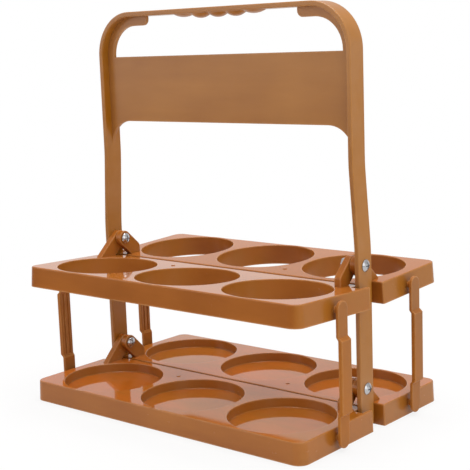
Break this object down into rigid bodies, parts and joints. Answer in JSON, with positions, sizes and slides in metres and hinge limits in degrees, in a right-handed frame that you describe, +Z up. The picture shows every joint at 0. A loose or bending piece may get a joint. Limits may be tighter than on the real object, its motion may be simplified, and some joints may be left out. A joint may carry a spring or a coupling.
{
  "type": "folding bottle carrier",
  "caption": "Folding tiered bottle carrier: tall loop handle with a plain panel, upper trays with round holes over recessed lower trays, joined by swinging side links.",
  "frame": {"origin": "on the floor, midway between the front and back trays and midway along them", "axes": "+X along the trays, the way the screw heads face; -Y is the front; +Z is up"},
  "size_m": [0.2998, 0.189, 0.3212],
  "materials": {
    "plastic": "glossy moulded",
    "steel": "bright zinc plated"
  },
  "bodies": {
    "handle": {"handle_frame": "plastic", "screw_upper_right": "steel", "screw_upper_left": "steel", "screw_lower_right": "steel", "screw_lower_left": "steel", "nut_upper_right": "steel", "nut_upper_left": "steel", "nut_lower_right": "steel", "nut_lower_left": "steel"},
    "upper_front": {"upper_tray_front": "plastic"},
    "lower_front": {"lower_tray_front": "plastic"},
    "link_front_right": {"link_front_right": "plastic"},
    "link_front_left": {"link_front_left": "plastic"},
    "upper_back": {"upper_tray_back": "plastic"},
    "lower_back": {"lower_tray_back": "plastic"},
    "link_back_right": {"link_back_right": "plastic"},
    "link_back_left": {"link_back_left": "plastic"}
  },
  "joints": [
    {"name": "front_upper_fold", "type": "hinge", "parent": "handle", "child": "upper_front", "pos_m": [0, 0, 0.1265], "axis": [-1, 0, 0], "range_deg": [0, 87]},
    {"name": "front_lower_fold", "type": "hinge", "parent": "handle", "child": "lower_front", "pos_m": [0, 0, 0.0319], "axis": [-1, 0, 0], "range_deg": [0, 87]},
    {"name": "link_front_right_swing", "type": "hinge", "parent": "upper_front", "child": "link_front_right", "pos_m": [0, -0.049, 0.104], "axis": [1, 0, 0], "range_deg": [0, 87]},
    {"name": "link_front_left_swing", "type": "hinge", "parent": "upper_front", "child": "link_front_left", "pos_m": [0, -0.049, 0.104], "axis": [1, 0, 0], "range_deg": [0, 87]},
    {"name": "back_upper_fold", "type": "hinge", "parent": "handle", "child": "upper_back", "pos_m": [0, 0, 0.1265], "axis": [1, 0, 0], "range_deg": [0, 87]},
    {"name": "back_lower_fold", "type": "hinge", "parent": "handle", "child": "lower_back", "pos_m": [0, 0, 0.0319], "axis": [1, 0, 0], "range_deg": [0, 87]},
    {"name": "link_back_right_swing", "type": "hinge", "parent": "upper_back", "child": "link_back_right", "pos_m": [0, 0.049, 0.104], "axis": [-1, 0, 0], "range_deg": [0, 87]},
    {"name": "link_back_left_swing", "type": "hinge", "parent": "upper_back", "child": "link_back_left", "pos_m": [0, 0.049, 0.104], "axis": [-1, 0, 0], "range_deg": [0, 87]}
  ],
  "couplings": [
    {"joint": "front_lower_fold", "follows": "front_upper_fold", "ratio": 1},
    {"joint": "link_front_right_swing", "follows": "front_upper_fold", "ratio": 1},
    {"joint": "link_front_left_swing", "follows": "front_upper_fold", "ratio": 1},
    {"joint": "back_lower_fold", "follows": "back_upper_fold", "ratio": 1},
    {"joint": "link_back_right_swing", "follows": "back_upper_fold", "ratio": 1},
    {"joint": "link_back_left_swing", "follows": "back_upper_fold", "ratio": 1}
  ]
}
